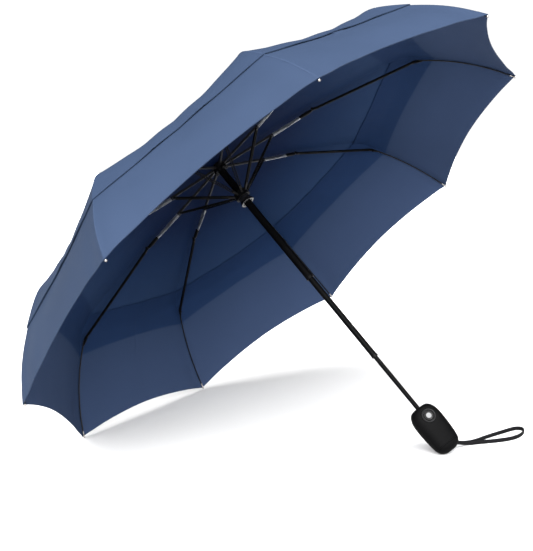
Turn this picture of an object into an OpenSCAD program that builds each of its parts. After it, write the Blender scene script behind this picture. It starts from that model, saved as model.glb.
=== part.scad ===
// Compact folding umbrella with nine three-stage folding ribs, a double vented canopy,
// a telescoping shaft and a soft-touch handle with a push button.
// Working frame of the umbrella itself (before it is set down): Z runs up the shaft to the
// ferrule, z = 0 is the plane of the rib tips, azimuth 0 points between the two ribs that
// touch the ground. rest() then lays the open umbrella on those two tips and the handle.

/* [Canopy] */
// Radius of the circle of rib tips
tip_r = 480; // [470:1:484]
// Thickness of the canopy fabric solid
fabric_t = 0.8; // [0.6:0.1:1.0]
// Depth of the scallop of the hem between two ribs
hem_scallop = 7; // [5:1:14]
// Radius along a rib where the vent cover ends
vent_r = 414; // [405:1:420]
// Radius along a rib where the lower canopy starts
lower_r = 344; // [335:1:350]

/* [Frame] */
// Height of the rib pivots in the top notch above the tip plane
notch_z = 183; // [182:0.5:184]
// Height of the stretcher pivots in the runner when open
runner_z = 122; // [121:0.5:123]
// Length of an inner rib from pivot to hinge
inner_len = 175; // [174:0.5:176]
// Length of a middle rib from hinge to hinge
mid_len = 195; // [194:0.5:196]
// Distance from the notch pivot to the stretcher joint on the inner rib
joint_len = 90; // [89:0.5:91]
// Width of the rib channels
rib_w = 2.6; // [2.2:0.1:2.6]
// Height of the rib channels
rib_h = 3.6; // [3.0:0.1:3.8]
// Diameter of the outer rib wire
wire_d = 2.4; // [2.0:0.1:2.6]

/* [Shaft] */
// Outer diameter of the upper tube
upper_d = 12.5; // [12.4:0.1:12.6]
// Outer diameter of the middle tube
mid_d = 9.8; // [9.6:0.1:9.9]
// Outer diameter of the lower tube
lower_d = 7.2; // [7.0:0.1:7.4]

/* [Handle] */
// Length of the handle
handle_l = 79; // [77:1:81]
// Width across the handle's flat face
handle_w = 47; // [46:1:48]
// Thickness of the handle
handle_t = 35; // [34:1:36]
// Diameter of the push button
button_d = 16.8; // [16:0.4:17.2]

/* [Hidden] */
$fn = 48;

// how the open umbrella lies: tilt of the shaft above the ground and height of the tip plane's centre
tilt = 47.7;
lift = 305.8;
shift_x = 3.3;

// azimuth of rib n, 1..9
function az(n) = 20 + 40*(n - 1);

// rib plane coordinates [r, z]
A = [10, notch_z];
B = [10.5, runner_z];
inner_a = -5;
mid_a = -11.9;
function dir(a) = [cos(a), sin(a)];
function up(a) = [-sin(a), cos(a)];
E = A + inner_len*dir(inner_a) + 2.5*up(inner_a);
J = A + joint_len*dir(inner_a) - 3*up(inner_a);
M0 = E - 2.5*up(mid_a);
M1 = M0 + mid_len*dir(mid_a);
F = M1 - 2.5*up(mid_a);
str_a = atan2(J[1] - B[1], J[0] - B[0]);
str_len = norm(J - B);
// the outer rib springs from hinge F and ends in the tip
O0 = F + [1.6, 1.95];
T = [tip_r, 0];
out_a = atan2(T[1] - O0[1], T[0] - O0[0]);
out_len = norm(T - O0);
out_half = 14;
out_R = out_len/2/sin(out_half);

// profile of the canopy's underside along a rib, from the notch to the tip
PR = [[14, 188.2], [60, 185.6], [110, 181.0], [160, 176.6], [190, 174], [225, 168], [260, 161.4], [300, 153.4], [344, 144], [372, 135.6], [391, 122], [410, 103.6], [427, 84.8], [443, 65.6], [458, 44.8], [471, 23.7], [tip_r + 0.6, 5.0]];
function prz(r, i = 0) = i >= len(PR) - 2 || r <= PR[i + 1][0] ? PR[i][1] + (r - PR[i][0])*(PR[i + 1][1] - PR[i][1])/(PR[i + 1][0] - PR[i][0]) : prz(r, i + 1);

// lays the umbrella down in its open pose
module rest() translate([shift_x, 0, lift]) rotate([0, -(90 - tilt), 0]) rotate([0, 0, 180]) children();

// a profile drawn in the rib plane, w thick across it
module in_plane(n, w) rotate([0, 0, az(n)]) rotate([90, 0, 0]) translate([0, 0, -w/2]) linear_extrude(w) children();
module disc(n, p, r, w, y = 0) rotate([0, 0, az(n)]) translate([p[0], y, p[1]]) rotate([90, 0, 0]) translate([0, 0, -w/2]) cylinder(r = r, h = w, $fn = 32);
// bar in the rib plane from length a to b along direction g, starting at p
module bar(n, p, g, a, b, lo, hi, w, y = 0) rotate([0, 0, az(n)]) translate([p[0], y, p[1]]) rotate([0, -g, 0]) translate([a, -w/2, lo]) cube([b - a, w, hi - lo]);
module ring(r, z, d, n = 64) translate([0, 0, z]) rotate_extrude($fn = n) translate([r, 0]) circle(d = d, $fn = 24);
module tube(ro, ri, z0, z1) translate([0, 0, z0]) difference() { cylinder(r = ro, h = z1 - z0, $fn = 64); translate([0, 0, -1]) cylinder(r = ri, h = z1 - z0 + 2, $fn = 64); }

// inner rib: channel open below, eye at the notch, lug for the stretcher, pull wire and knuckle
module inner_rib(n) color([0.62, 0.63, 0.65]) rest() {
  difference() {
    union() {
      disc(n, A, 2.0, rib_w);
      bar(n, A, inner_a, 0, inner_len - 3, -rib_h/2, rib_h/2, rib_w);
      disc(n, J, 1.6, 1.6);
      bar(n, A, inner_a, joint_len - 1.6, joint_len + 1.6, -3, 0, 1.6);
      disc(n, E, 2.0, 1.0);
      bar(n, A, inner_a, inner_len - 6, inner_len, -rib_h/2, 2.4, 1.0);
      // end connector that carries the hinge
      bar(n, A, inner_a, inner_len - 22, inner_len - 4, -2.0, 1.85, 3.2);
    }
    disc(n, A, 0.95, 10);
    disc(n, E, 0.7, 10);
    bar(n, A, inner_a, 6, inner_len - 24, -3, 1.1, 1.4);
  }
  // pull wire from the stretcher lug out to the connector
  bar(n, J + [1.2, -0.9], inner_a + 1.7, 0, inner_len - joint_len - 20, -0.5, 0.5, 1.0);
}

// stretcher: two cheeks either side of the inner rib, joined at the runner eye
module stretcher(n) color([0.1, 0.1, 0.11]) rest() difference() {
  union() {
    disc(n, B, 2.1, 2.8);
    bar(n, B, str_a, 0, 13, -1.5, 1.5, 2.9);
    for (s = [-1, 1]) {
      bar(n, B, str_a, 7, str_len, -1.7, 1.7, 0.7, s*1.75);
      disc(n, J, 1.9, 0.7, s*1.75);
      disc(n, J, 1.1, 0.5, s*2.2);
    }
  }
  disc(n, B, 0.95, 10);
}

// middle rib: channel open below with a forked knuckle at each end
module middle_rib(n) color([0.09, 0.09, 0.1]) rest() {
  difference() {
    union() {
      bar(n, M0, mid_a, 2.5, mid_len - 3, -rib_h/2, rib_h/2, rib_w + 0.6);
      for (s = [-1, 1]) {
        bar(n, M0, mid_a, -0.5, 6, -0.6, 2.4, 0.8, s*1.3);
        disc(n, E, 1.9, 0.8, s*1.3);
      }
      for (s = [-1, 1]) {
        bar(n, M0, mid_a, mid_len - 7, mid_len, -2.4, 0.9, 0.8, s*1.5);
        disc(n, F, 1.9, 0.8, s*1.5);
      }
    }
    bar(n, M0, mid_a, 8, mid_len - 12, -3, 1.0, 1.7);
  }
  // hinge pins
  disc(n, E, 0.6, 3.6);
  disc(n, F, 0.6, 4.0);
}

// outer rib: a curved wire from the hinge to a ball tip
function arc(r, k = 14) = [for (i = [0:k]) let (u = out_half - 2*out_half*i/k, c = [(O0[0] + T[0])/2, (O0[1] + T[1])/2] - out_R*cos(out_half)*up(out_a)) c + r*up(out_a + u)];
module outer_rib(n) color([0.16, 0.15, 0.15]) rest() {
  difference() {
    union() {
      in_plane(n, wire_d*0.9) polygon(concat(arc(out_R - wire_d*0.45), [for (i = [14:-1:0]) arc(out_R + wire_d*0.45)[i]]));
      disc(n, F, 2.0, 1.8);
      bar(n, O0, -37.5, -0.6, 8, -2.4, 1.0, 1.8);
    }
    disc(n, F, 0.7, 10);
  }
  // metal ball and its sleeve at the tip
  rotate([0, 0, az(n)]) translate([T[0], 0, T[1]]) sphere(r = 2.2, $fn = 32);
  bar(n, T, -64.7, -8, -0.8, -1.6, 1.6, 3.2);
}

// one gore panel of fabric between two ribs, from radius index list rs, hem drawn in at mid-gore
function gpt(a, r, s, dz) = let (m = r*cos(20)) [m*cos(a + 20*s)/cos(20*s), m*sin(a + 20*s)/cos(20*s), prz(r) + dz];
module gore(n, rs, scal, g, ss = [-1, -0.5, 0, 0.5, 1]) {
  a = az(n) + 20;
  k = len(rs);
  q = len(ss);
  // the edge is pulled back by the scallop where it hangs free
  function rr(i, s) = i == k - 1 && scal > 0 ? rs[i] - scal*(1 - s*s) : rs[i];
  function sp(s, r) = s*(1 - g/(r*tan(20)));
  top = [for (i = [0:k - 1]) for (s = ss) gpt(a, rr(i, s), sp(s, rs[i]), fabric_t)];
  bot = [for (i = [0:k - 1]) for (s = ss) gpt(a, rr(i, s), sp(s, rs[i]), 0)];
  N = k*q;
  faces = concat(
    [for (i = [0:k - 2]) for (j = [0:q - 2]) each [[i*q + j, i*q + j + 1, (i + 1)*q + j + 1], [i*q + j, (i + 1)*q + j + 1, (i + 1)*q + j]]],
    [for (i = [0:k - 2]) for (j = [0:q - 2]) each [[N + i*q + j, N + (i + 1)*q + j + 1, N + i*q + j + 1], [N + i*q + j, N + (i + 1)*q + j, N + (i + 1)*q + j + 1]]],
    [for (j = [0:q - 2]) each [[j, N + j, N + j + 1], [j, N + j + 1, j + 1]]],
    [for (j = [0:q - 2]) each [[(k - 1)*q + j, (k - 1)*q + j + 1, N + (k - 1)*q + j + 1], [(k - 1)*q + j, N + (k - 1)*q + j + 1, N + (k - 1)*q + j]]],
    [for (i = [0:k - 2]) each [[i*q, (i + 1)*q, N + (i + 1)*q], [i*q, N + (i + 1)*q, N + i*q]]],
    [for (i = [0:k - 2]) each [[i*q + q - 1, N + (i + 1)*q + q - 1, (i + 1)*q + q - 1], [i*q + q - 1, N + i*q + q - 1, N + (i + 1)*q + q - 1]]]);
  polyhedron(points = concat(top, bot), faces = faces, convexity = 4);
}
// a gore is laid in bands along the rib, so that each band is nearly flat
function band(r0, r1) = concat([r0 + 0.15], [for (p = PR) if (p[0] > r0 + 1 && p[0] < r1 - 1) p[0]], [r1 - 0.15]);
half = [0.002, 0.25, 0.5, 0.75, 1];
left = [for (i = [4:-1:0]) -half[i]];

// upper fabric layer: nine panels, its edge hangs free over the vent
module vent_cover() color([0.33, 0.42, 0.57]) rest() translate([0, 0, 1.6]) for (n = [1:9]) {
  gore(n, band(16, 190), 0, 0.2);
  gore(n, band(190, 344), 0, 0.2);
  gore(n, band(344, vent_r), 6, 0.2);
}
// lower fabric layer: nine panels from under the vent cover out to the hem
module lower_canopy() color([0.3, 0.39, 0.54]) rest() for (n = [1:9]) {
  gore(n, band(lower_r, 391), 0, 0.2);
  gore(n, band(391, 435), 0, 0.2);
  gore(n, band(435, tip_r), hem_scallop, 0.2, half);
  gore(n, band(435, tip_r), hem_scallop, 0.2, left);
}

// strap of the canopy fabric that wraps the closed umbrella, hanging inside the hem
module closure_band() color([0.2, 0.27, 0.4]) rest() rotate([0, 0, 160]) translate([400, 0, 77.8]) rotate([0, -39, 0]) translate([-0.5, -11, -40]) cube([1.0, 22, 80]);

module upper_tube() color([0.08, 0.08, 0.09]) rest() tube(upper_d/2, upper_d/2 - 0.7, -59, 176);
module middle_tube() color([0.08, 0.08, 0.09]) rest() { tube(mid_d/2, mid_d/2 - 0.65, -221, -34); tube(upper_d/2 - 0.75, mid_d/2 - 0.1, -46, -34); }
module lower_tube() color([0.08, 0.08, 0.09]) rest() { tube(lower_d/2, lower_d/2 - 0.6, -382, -196); tube(mid_d/2 - 0.7, lower_d/2 - 0.1, -208, -196); }
module upper_collar() color([0.11, 0.11, 0.12]) rest() { tube(upper_d/2 - 0.72, mid_d/2 + 0.05, -59, -51); tube(upper_d/2 + 0.5, mid_d/2 + 0.05, -62, -59); }
module middle_collar() color([0.11, 0.11, 0.12]) rest() { tube(mid_d/2 - 0.67, lower_d/2 + 0.05, -221, -213); tube(mid_d/2 + 0.45, lower_d/2 + 0.05, -224, -221); }

// slotted crown that holds the nine inner ribs on a wire ring
module top_notch() color([0.07, 0.07, 0.08]) rest() difference() {
  union() {
    translate([0, 0, 176]) cylinder(r = 12.4, h = 11.4);
    translate([0, 0, 166]) cylinder(r = upper_d/2 - 0.75, h = 11);
    translate([0, 0, 187.4]) cylinder(r = 5, h = 4.5);
  }
  for (n = [1:9]) rotate([0, 0, az(n)]) translate([7.7, -1.6, 170]) cube([10, 3.2, 16]);
  ring(A[0], A[1], 1.8);
}
module notch_ring() color([0.7, 0.7, 0.72]) rest() ring(A[0], A[1], 1.4);
module ferrule_cap() color([0.06, 0.06, 0.07]) rest() difference() {
  translate([0, 0, 187.5]) rotate_extrude($fn = 64) polygon([[0, 0], [5.2, 0], [5.2, 3.2], [15.5, 3.2], [16, 4.0], [15.4, 5.2], [11, 6.8], [8.6, 9], [7.6, 13], [6.4, 15.2], [3.5, 16.6], [0, 17]]);
  translate([0, 0, 186]) cylinder(r = 5.05, h = 6);
}

// sliding runner with a slotted crown for the stretchers
module runner() color([0.07, 0.07, 0.08]) rest() difference() {
  union() { translate([0, 0, 104]) cylinder(r = 8.2, h = 25); translate([0, 0, 116]) cylinder(r = 12.8, h = 10.5); }
  translate([0, 0, 100]) cylinder(r = upper_d/2 + 0.05, h = 40, $fn = 64);
  for (n = [1:9]) rotate([0, 0, az(n)]) translate([8.25, -1.6, 119.3]) cube([10, 3.2, 20]);
  ring(B[0], B[1], 1.8);
}
module runner_bell() color([0.1, 0.1, 0.11]) rest() rotate_extrude($fn = 64) polygon([[8.25, 104], [11.6, 104], [12.1, 104.8], [11.2, 107.2], [9.9, 110], [9.5, 115.8], [8.25, 115.8]]);
module runner_ring() color([0.7, 0.7, 0.72]) rest() ring(B[0], B[1], 1.4);

// opening spring coiled inside the upper tube
sp_n = 22;
module main_spring() color([0.5, 0.5, 0.52]) rest() coil(3.9, 0.9, -32, 164, sp_n, 10, 6);
module coil(r, d, z0, z1, turns, seg, sides) {
  m = turns*seg;
  pts = [for (i = [0:m]) let (t = 360*i/seg, z = z0 + (z1 - z0)*i/m) for (j = [0:sides - 1]) let (u = 360*j/sides) [(r + d/2*cos(u))*cos(t), (r + d/2*cos(u))*sin(t), z + d/2*sin(u)]];
  faces = concat([[for (j = [0:sides - 1]) j]], [[for (j = [sides - 1:-1:0]) m*sides + j]],
    [for (i = [0:m - 1]) for (j = [0:sides - 1]) let (b = i*sides, k = (j + 1)%sides) each [[b + j, b + sides + j, b + sides + k], [b + j, b + sides + k, b + k]]]);
  polyhedron(points = pts, faces = faces, convexity = 10);
}

// handle: flat oval grip, widest near the top
btn_a = 143;
// direction in which the strap leaves the end cap, from the button's direction
strap_a = 125;
hz = -326;
HS = [[0, 0.40, 0.42], [-2.2, 0.62, 0.64], [-6, 0.80, 0.81], [-12, 0.93, 0.93], [-20, 0.99, 0.99], [-28, 1.0, 1.0], [-38, 0.985, 0.995], [-50, 0.94, 0.97], [-60, 0.885, 0.93], [-67, 0.83, 0.88]];
HE = [[-67.25, 0.822, 0.872], [-70.5, 0.775, 0.825], [-73.5, 0.695, 0.74], [-75.5, 0.604, 0.644], [-77.2, 0.495, 0.53], [-78.4, 0.37, 0.40], [-79, 0.25, 0.27]];
function oval(h, q) = [for (i = [0:q - 1]) let (t = 360*i/q, c = cos(t), s = sin(t), e = 0.86) [handle_t/2*h[2]*sign(c)*pow(abs(c), e), handle_w/2*h[1]*sign(s)*pow(abs(s), e), h[0]*handle_l/79]];
module loft(hs, q = 40) {
  k = len(hs);
  pts = [for (h = hs) each oval(h, q)];
  polyhedron(points = pts, faces = concat([[for (j = [0:q - 1]) j]], [[for (j = [q - 1:-1:0]) (k - 1)*q + j]],
    [for (i = [0:k - 2]) for (j = [0:q - 1]) let (b = i*q, m = (j + 1)%q) each [[b + j, b + q + j, b + q + m], [b + j, b + q + m, b + m]]]), convexity = 4);
}
module in_handle() rest() translate([0, 0, hz]) rotate([0, 0, btn_a]) children();
module handle_grip() color([0.05, 0.05, 0.055]) in_handle() difference() {
  loft(HS);
  translate([0, 0, -37]) cylinder(r = 7.4, h = 40);
  translate([0, 0, -60]) cylinder(r = 5.4, h = 30);
  translate([0, 0, -70]) cylinder(r = 11.0, h = 14);
  translate([9.6, 0, -19]) rotate([0, 90, 0]) cylinder(r = 10.35, h = 20);
}
module handle_core() color([0.2, 0.2, 0.21]) in_handle() difference() {
  union() { translate([0, 0, -57]) cylinder(r = 5.3, h = 19.5); translate([0, 0, -66.5]) cylinder(r = 10.8, h = 10.3); }
  translate([0, 0, -57]) cylinder(r = lower_d/2 + 0.02, h = 30, $fn = 64);
}
module handle_end_cap() color([0.07, 0.07, 0.075]) in_handle() difference() {
  loft(HE);
  rotate([0, 0, strap_a]) translate([3, 0, -71.2]) rotate([0, 90, 0]) cylinder(r = 3.6, h = 30);
}
module strap_anchor() color([0.6, 0.6, 0.62]) in_handle() rotate([0, 0, strap_a]) translate([6.4, 0, -74.5]) cylinder(r = 1.1, h = 6.6, $fn = 24);
module push_button() color([0.04, 0.04, 0.045]) in_handle() translate([11.8, 0, -19]) rotate([0, 90, 0]) rotate_extrude($fn = 64) polygon([[0, 1.4], [4.4, 1.4], [4.4, 0], [button_d/2 + 0.3, 0], [button_d/2 + 0.3, 1.2], [button_d/2 - 0.6, 1.2], [button_d/2 - 0.6, 4.3], [button_d/2 - 1.4, 5.0], [0, 5.4]]);
module button_bezel() color([0.09, 0.09, 0.1]) in_handle() translate([9.6, 0, -19]) rotate([0, 90, 0]) rotate_extrude($fn = 64) polygon([[button_d/2 + 0.6, 0], [10.3, 0], [10.3, 7.0], [9.6, 7.6], [button_d/2 - 0.3, 7.3], [button_d/2 - 0.3, 3.9], [button_d/2 + 0.6, 3.9]]);
module button_spring() color([0.6, 0.6, 0.62]) in_handle() translate([9.7, 0, -19]) rotate([0, 90, 0]) coil(3.2, 0.5, 0.3, 3.2, 4, 14, 6);

// wrist strap: a loop of flat webbing that leaves the end cap and lies on the ground on its edge
strap_w = 6.2;
strap_t = 1.6;
// route of its middle line in the resting frame
SR = [[265.9, 8.4, 12.1], [265.9, 15, 12], [266.8, 23, 10.6], [269.6, 32, 7.4], [274, 42, 4.8], [279.6, 52, 3.6], [284.2, 62, 3.3], [289.2, 77, 3.3], [295, 93, 3.3], [301.4, 108, 3.3], [307, 121, 3.3], [311.6, 132, 3.3], [317.4, 140.4, 3.3], [325, 142.6, 3.3], [331.6, 137, 3.3], [335, 127, 3.3], [336, 114, 3.3], [334, 102, 3.3], [329, 91, 3.3], [320.6, 80.6, 3.3], [310.4, 71, 3.3], [299.6, 62.4, 3.3], [289.6, 54.2, 3.3], [281.4, 45.4, 3.9], [274.8, 36, 6.1], [270.6, 27, 9], [268.9, 18, 11.6], [268.7, 8.4, 12.1]];
function cr(i, t) = let (n = len(SR) - 1, p0 = SR[max(i - 1, 0)], p1 = SR[i], p2 = SR[min(i + 1, n)], p3 = SR[min(i + 2, n)]) 0.5*(2*p1 + t*(p2 - p0) + t*t*(2*p0 - 5*p1 + 4*p2 - p3) + t*t*t*(3*p1 - p0 - 3*p2 + p3));
route = concat([for (i = [0:len(SR) - 2]) for (t = [0, 0.5]) cr(i, t)], [SR[len(SR) - 1]]);
module wrist_strap() color([0.06, 0.06, 0.07]) translate([shift_x, 0, 0]) {
  m = len(route) - 1;
  pts = [for (i = [0:m]) let (d = route[min(i + 1, m)] - route[max(i - 1, 0)], h = [-d[1], d[0], 0]/norm([d[0], d[1]])) for (j = [0:7]) route[i] + h*strap_t/2*cos(45*j) + [0, 0, strap_w*min(1, 0.8 + 0.05*min(i, m - i))/2*sin(45*j)]];
  polyhedron(points = pts, faces = concat([[for (j = [7:-1:0]) j]], [[for (j = [0:7]) m*8 + j]],
    [for (i = [0:m - 1]) for (j = [0:7]) let (b = i*8, k = (j + 1)%8) each [[b + j, b + k, b + 8 + k], [b + j, b + 8 + k, b + 8 + j]]]), convexity = 8);
}

inner_rib(1);  // inner_rib_1
inner_rib(2);  // inner_rib_2
inner_rib(3);  // inner_rib_3
inner_rib(4);  // inner_rib_4
inner_rib(5);  // inner_rib_5
inner_rib(6);  // inner_rib_6
inner_rib(7);  // inner_rib_7
inner_rib(8);  // inner_rib_8
inner_rib(9);  // inner_rib_9
stretcher(1);  // stretcher_1
stretcher(2);  // stretcher_2
stretcher(3);  // stretcher_3
stretcher(4);  // stretcher_4
stretcher(5);  // stretcher_5
stretcher(6);  // stretcher_6
stretcher(7);  // stretcher_7
stretcher(8);  // stretcher_8
stretcher(9);  // stretcher_9
middle_rib(1);  // middle_rib_1
middle_rib(2);  // middle_rib_2
middle_rib(3);  // middle_rib_3
middle_rib(4);  // middle_rib_4
middle_rib(5);  // middle_rib_5
middle_rib(6);  // middle_rib_6
middle_rib(7);  // middle_rib_7
middle_rib(8);  // middle_rib_8
middle_rib(9);  // middle_rib_9
outer_rib(1);  // outer_rib_1
outer_rib(2);  // outer_rib_2
outer_rib(3);  // outer_rib_3
outer_rib(4);  // outer_rib_4
outer_rib(5);  // outer_rib_5
outer_rib(6);  // outer_rib_6
outer_rib(7);  // outer_rib_7
outer_rib(8);  // outer_rib_8
outer_rib(9);  // outer_rib_9
vent_cover();
lower_canopy();
closure_band();
upper_tube();
middle_tube();
lower_tube();
upper_collar();
middle_collar();
top_notch();
notch_ring();
ferrule_cap();
runner();
runner_bell();
runner_ring();
main_spring();
handle_grip();
handle_end_cap();
handle_core();
push_button();
button_bezel();
button_spring();
strap_anchor();
wrist_strap();
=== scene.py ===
import math
import bpy
import bmesh
import numpy as np
from mathutils import Matrix, Vector


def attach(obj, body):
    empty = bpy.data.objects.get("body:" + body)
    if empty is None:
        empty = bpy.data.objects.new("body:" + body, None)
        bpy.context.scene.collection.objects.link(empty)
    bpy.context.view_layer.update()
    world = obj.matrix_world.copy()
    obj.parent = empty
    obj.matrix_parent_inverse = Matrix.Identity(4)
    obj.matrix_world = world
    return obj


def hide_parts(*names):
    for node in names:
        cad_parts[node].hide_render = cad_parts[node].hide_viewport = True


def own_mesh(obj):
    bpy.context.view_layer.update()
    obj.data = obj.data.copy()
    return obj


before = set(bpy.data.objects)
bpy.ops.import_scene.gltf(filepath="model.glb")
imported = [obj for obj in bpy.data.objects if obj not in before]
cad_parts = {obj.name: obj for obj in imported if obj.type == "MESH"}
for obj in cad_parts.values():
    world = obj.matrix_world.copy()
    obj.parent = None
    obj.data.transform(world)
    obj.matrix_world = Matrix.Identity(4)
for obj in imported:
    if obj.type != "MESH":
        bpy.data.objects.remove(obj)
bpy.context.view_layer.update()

# ------------------------------------------------------------------ the umbrella's own frame
# u frame: Z up the shaft to the ferrule, z = 0 the plane of the rib tips, azimuth 0 between the
# two ribs that touch the ground. Lengths in millimetres there, metres in the row frame.
TILT, LIFT, SHIFT = math.radians(47.7), 305.8, 3.3
SA, CA = math.sin(TILT), math.cos(TILT)
MU = np.array([[-SA, 0, -CA], [0, -1, 0], [-CA, 0, SA]])
OFF = np.array([SHIFT, 0, LIFT])


def row(p):
    return (np.asarray(p, float) @ MU.T + OFF) / 1000.0


def rowd(d):
    d = np.asarray(d, float) @ MU.T
    return d / np.linalg.norm(d)


def azi(n):
    return math.radians(20 + 40 * (n - 1))


# ------------------------------------------------------------------ camera
cam_data = bpy.data.cameras.new("camera")
cam = bpy.data.objects.new("camera", cam_data)
bpy.context.scene.collection.objects.link(cam)
right, upv, back = Vector((0.818726, 0.569523, -0.073017)), Vector((-0.026404, 0.164376, 0.986044)), Vector((0.573578, -0.805372, 0.149616))
m = Matrix.Identity(4)
for i in range(3):
    m[i][0], m[i][1], m[i][2] = right[i], upv[i], back[i]
m.translation = Vector((0.90209, -1.32339, 0.50813))
cam.matrix_world = m
cam_data.lens, cam_data.sensor_width, cam_data.sensor_fit = 65.54, 36.0, "AUTO"
cam_data.clip_start, cam_data.clip_end = 0.05, 50
bpy.context.scene.camera = cam
bpy.context.scene.view_settings.view_transform = "Standard"


# ------------------------------------------------------------------ helpers
def new_mesh(name, verts, faces, smooth=True):
    me = bpy.data.meshes.new(name)
    me.from_pydata([tuple(v) for v in verts], [], [tuple(int(i) for i in f) for f in faces])
    me.update()
    if smooth:
        me.polygons.foreach_set("use_smooth", [True] * len(me.polygons))
    o = bpy.data.objects.new(name, me)
    bpy.context.scene.collection.objects.link(o)
    return o


def sharp(o, deg=35):
    """Smooth faces, with edges steeper than deg kept crisp."""
    bm = bmesh.new()
    bm.from_mesh(o.data)
    bmesh.ops.recalc_face_normals(bm, faces=bm.faces)
    for e in bm.edges:
        e.smooth = not (len(e.link_faces) == 2 and e.calc_face_angle(0) > math.radians(deg))
    for f in bm.faces:
        f.smooth = True
    bm.to_mesh(o.data)
    bm.free()
    return o


def bevel(o, width, segments=2, deg=30):
    bm = bmesh.new()
    bm.from_mesh(o.data)
    bmesh.ops.recalc_face_normals(bm, faces=bm.faces)
    edges = [e for e in bm.edges if len(e.link_faces) == 2 and e.calc_face_angle(0) > math.radians(deg)]
    bmesh.ops.bevel(bm, geom=edges, offset=width, segments=segments, affect="EDGES", profile=0.6, clamp_overlap=True)
    bm.to_mesh(o.data)
    bm.free()
    return o


def lathe(name, profile, place, n=64, closed_profile=False):
    """Turns profile [(r, z)] mm about the local Z axis; place maps local mm points to the row frame."""
    pts, faces = [], []
    k = len(profile)
    for i in range(n):
        t = 2 * math.pi * i / n
        for r, z in profile:
            pts.append((r * math.cos(t), r * math.sin(t), z))
    for i in range(n):
        a, b = i * k, ((i + 1) % n) * k
        for j in range(k if closed_profile else k - 1):
            jj = (j + 1) % k
            faces.append((a + j, b + j, b + jj, a + jj))
    o = new_mesh(name, place(np.array(pts)), faces)
    bm = bmesh.new()
    bm.from_mesh(o.data)
    bmesh.ops.remove_doubles(bm, verts=bm.verts, dist=1e-6)
    bmesh.ops.dissolve_degenerate(bm, edges=bm.edges, dist=1e-7)
    bm.to_mesh(o.data)
    bm.free()
    return o


def sweep(name, pts, radii, n=12, flat=None, caps=True, wide=None):
    """A tube along pts (row frame, m). flat=(half thickness, half width, up) sweeps a rounded strap section instead; up
    is not used.
    """
    pts = np.asarray(pts, float)
    m_ = len(pts)
    tang = np.gradient(pts, axis=0)
    tang /= np.linalg.norm(tang, axis=1)[:, None]
    verts = []
    ref = np.array([0, 0, 1.0]) if flat is not None else np.array([0.31, 0.87, 0.37])
    prev = None
    for i in range(m_):
        t = tang[i]
        if flat is not None:
            s = np.cross(t, ref)
            s /= np.linalg.norm(s)
            u = np.cross(s, t)
        else:
            if prev is None:
                prev = np.cross(t, ref)
            s = prev - t * (prev @ t)
            s /= np.linalg.norm(s)
            prev = s
            u = np.cross(t, s)
        for j in range(n):
            a = 2 * math.pi * j / n
            c, q = math.cos(a), math.sin(a)
            if flat is not None:
                e = 0.55
                verts.append(pts[i] + s * flat[0] * np.sign(c) * abs(c) ** e + u * flat[1] * wide[i] * np.sign(q) * abs(q) ** e)
            else:
                verts.append(pts[i] + (s * c + u * q) * radii[i])
    faces = [(i * n + j, i * n + (j + 1) % n, (i + 1) * n + (j + 1) % n, (i + 1) * n + j) for i in range(m_ - 1) for j in range(n)]
    if caps:
        faces += [tuple(range(n - 1, -1, -1)), tuple((m_ - 1) * n + j for j in range(n))]
    o = new_mesh(name, verts, faces)
    return sharp(o, 50)


def set_uv(o, fn):
    """A UV map in metres from a function of the vertex's index."""
    uv = o.data.uv_layers.new(name="thread")
    idx = np.zeros(len(o.data.loops), np.int32)
    o.data.loops.foreach_get("vertex_index", idx)
    uv.data.foreach_set("uv", np.asarray(fn, np.float32)[idx].ravel())


# ------------------------------------------------------------------ the canopy's profile: distance from the shaft, height, mm
PR = np.array([[0, 189.0], [14, 188.2], [60, 185.6], [110, 181.0], [160, 176.6], [190, 174], [225, 168], [260, 161.4], [300, 153.4], [344, 144],
               [372, 135.6], [391, 122], [410, 103.6], [427, 84.8], [443, 65.6], [458, 44.8], [471, 22.6], [478, 9.6], [482.4, 0.6], [490, -15.0]])
_rs = np.arange(0, 490, 0.5)
_zs = np.interp(_rs, PR[:, 0], PR[:, 1])
_k = np.exp(-0.5 * (np.arange(-30, 31) * 0.5 / 6.0) ** 2)
_k /= _k.sum()
_zp = np.concatenate([_zs[0] + (_zs[0] - _zs[30:0:-1]), _zs, _zs[-1] + (_zs[-1] - _zs[-2:-32:-1])])
_zz = np.convolve(_zp, _k, mode="valid")
_arc = np.concatenate([[0], np.cumsum(np.hypot(np.diff(_rs), np.diff(_zz)))])


def arc_at(r):
    """Length along the cut from the crown to distance r, m."""
    return float(np.interp(r, _rs, _arc)) / 1000.0


# ------------------------------------------------------------------ materials
def material(name):
    mt = bpy.data.materials.new(name)
    mt.use_nodes = True
    nt = mt.node_tree
    nt.nodes.clear()
    out = nt.nodes.new("ShaderNodeOutputMaterial")
    bs = nt.nodes.new("ShaderNodeBsdfPrincipled")
    nt.links.new(bs.outputs[0], out.inputs[0])
    return mt, nt, bs, out


def N(nt, kind, **kw):
    n = nt.nodes.new(kind)
    for k, v in kw.items():
        if k in n.inputs.keys() if hasattr(n.inputs, "keys") else False:
            n.inputs[k].default_value = v
        else:
            setattr(n, k, v)
    return n


def ramp(nt, fac, stops):
    r = nt.nodes.new("ShaderNodeValToRGB")
    els = r.color_ramp.elements
    els[0].position, els[0].color = stops[0][0], (*stops[0][1], 1)
    els[1].position, els[1].color = stops[-1][0], (*stops[-1][1], 1)
    for p, c in stops[1:-1]:
        e = els.new(p)
        e.color = (*c, 1)
    nt.links.new(fac, r.inputs[0])
    return r


def noise(nt, coord, scale, detail=3.0, rough=0.5):
    n = nt.nodes.new("ShaderNodeTexNoise")
    n.inputs["Scale"].default_value = scale
    n.inputs["Detail"].default_value = detail
    n.inputs["Roughness"].default_value = rough
    nt.links.new(coord, n.inputs["Vector"])
    return n


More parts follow.
